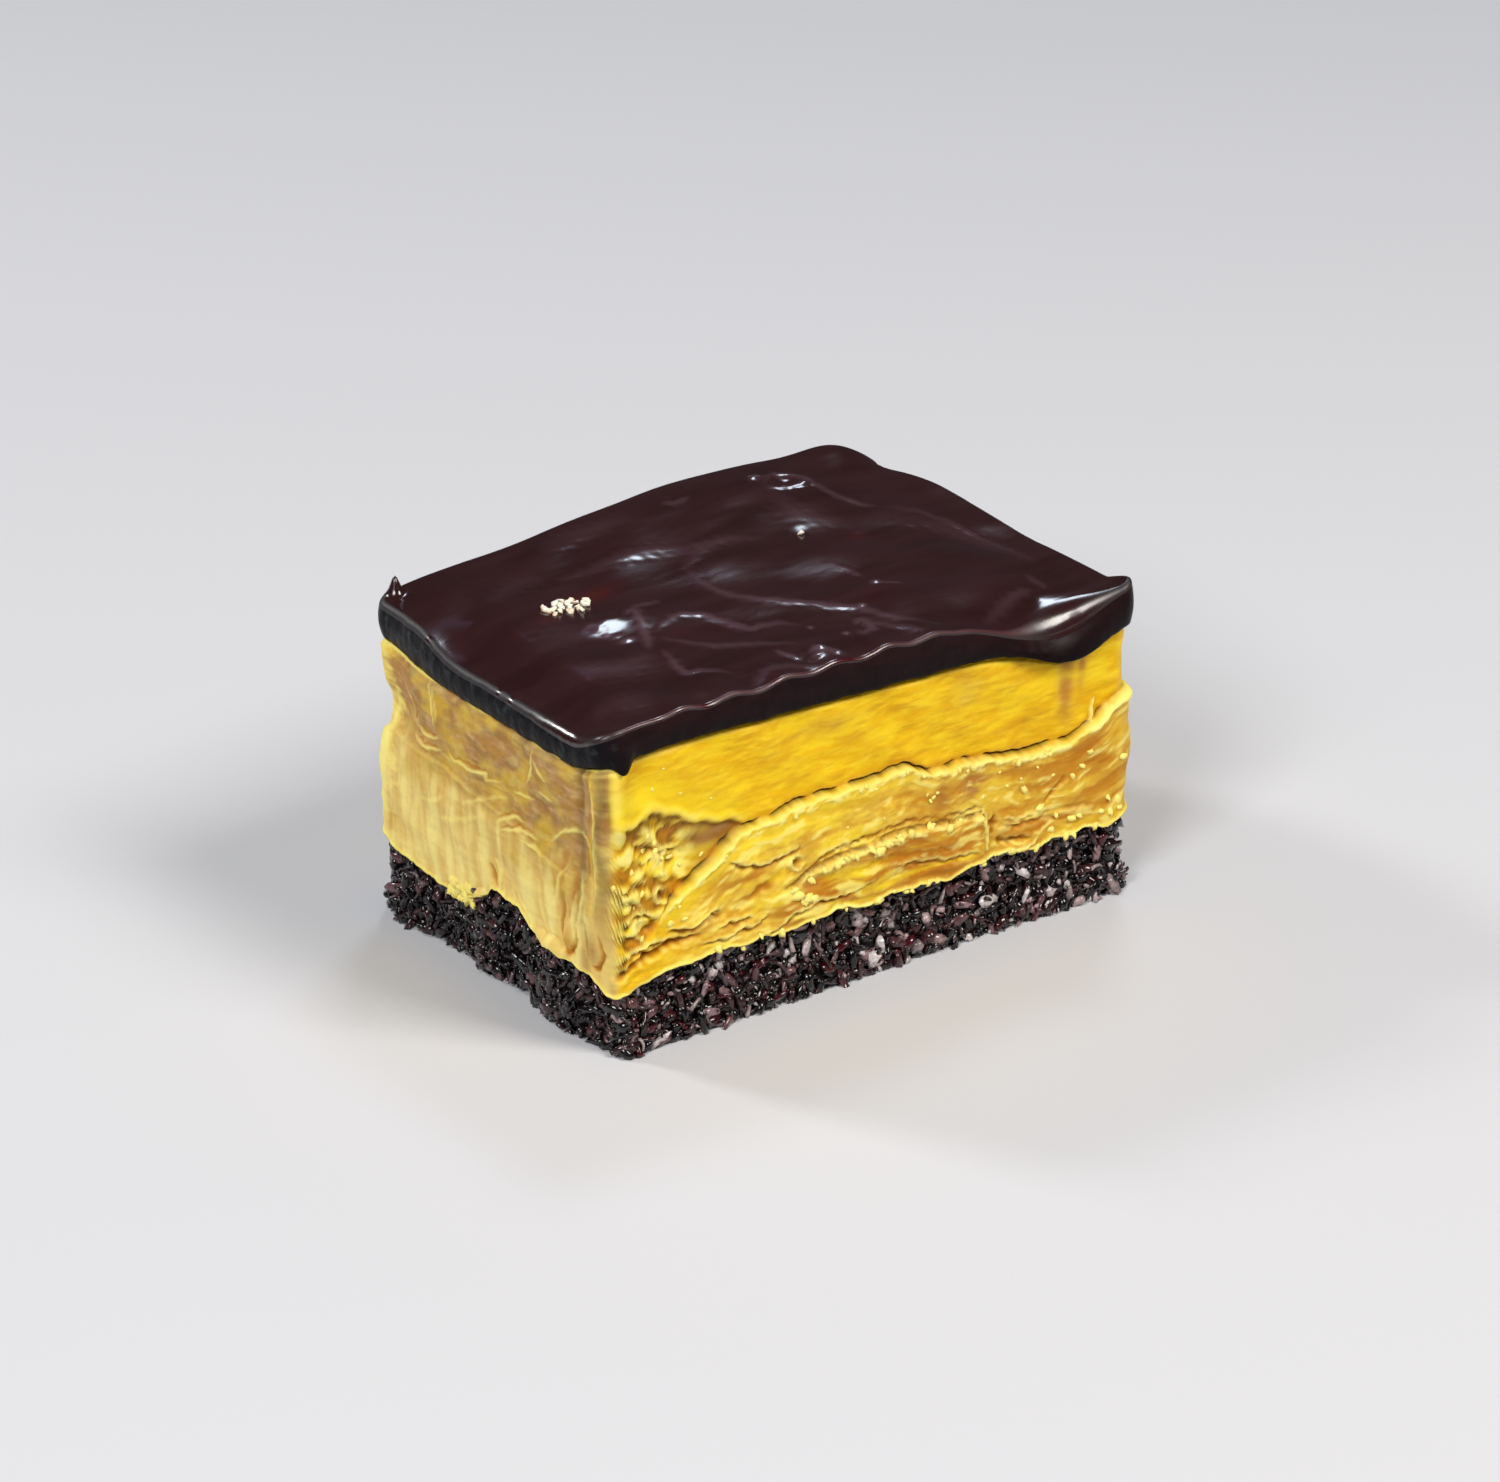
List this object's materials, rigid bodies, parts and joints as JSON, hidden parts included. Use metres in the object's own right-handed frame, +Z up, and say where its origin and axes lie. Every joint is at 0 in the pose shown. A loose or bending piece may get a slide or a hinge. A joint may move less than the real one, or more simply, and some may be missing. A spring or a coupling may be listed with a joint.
{
  "type": "nanaimo bar",
  "caption": "Cut block of layered no-bake bar: dark crumb base, thick yellow custard filling with a torn ledge, and a glossy chocolate top that sags over one edge.",
  "frame": {"origin": "on the surface that the bar stands on, under the middle of the block", "axes": "+X along the long cut face, towards its right end as seen from the front, which looks along -Y; +Z up through the layers"},
  "size_m": [0.0646, 0.0432, 0.0364],
  "materials": {
    "crumb_base": "rough, moist cocoa crumbs, nearly black with brown and mauve-brown grains",
    "custard_filling": "soft buttery custard cream, smooth above the torn ledge and dragged by the knife below it",
    "chocolate_top": "glossy set dark chocolate with soft smear marks and a thin reddish rim"
  },
  "bodies": {
    "root": {"crumb_base": "crumb_base", "custard_filling": "custard_filling", "chocolate_top": "chocolate_top"}
  },
  "joints": []
}
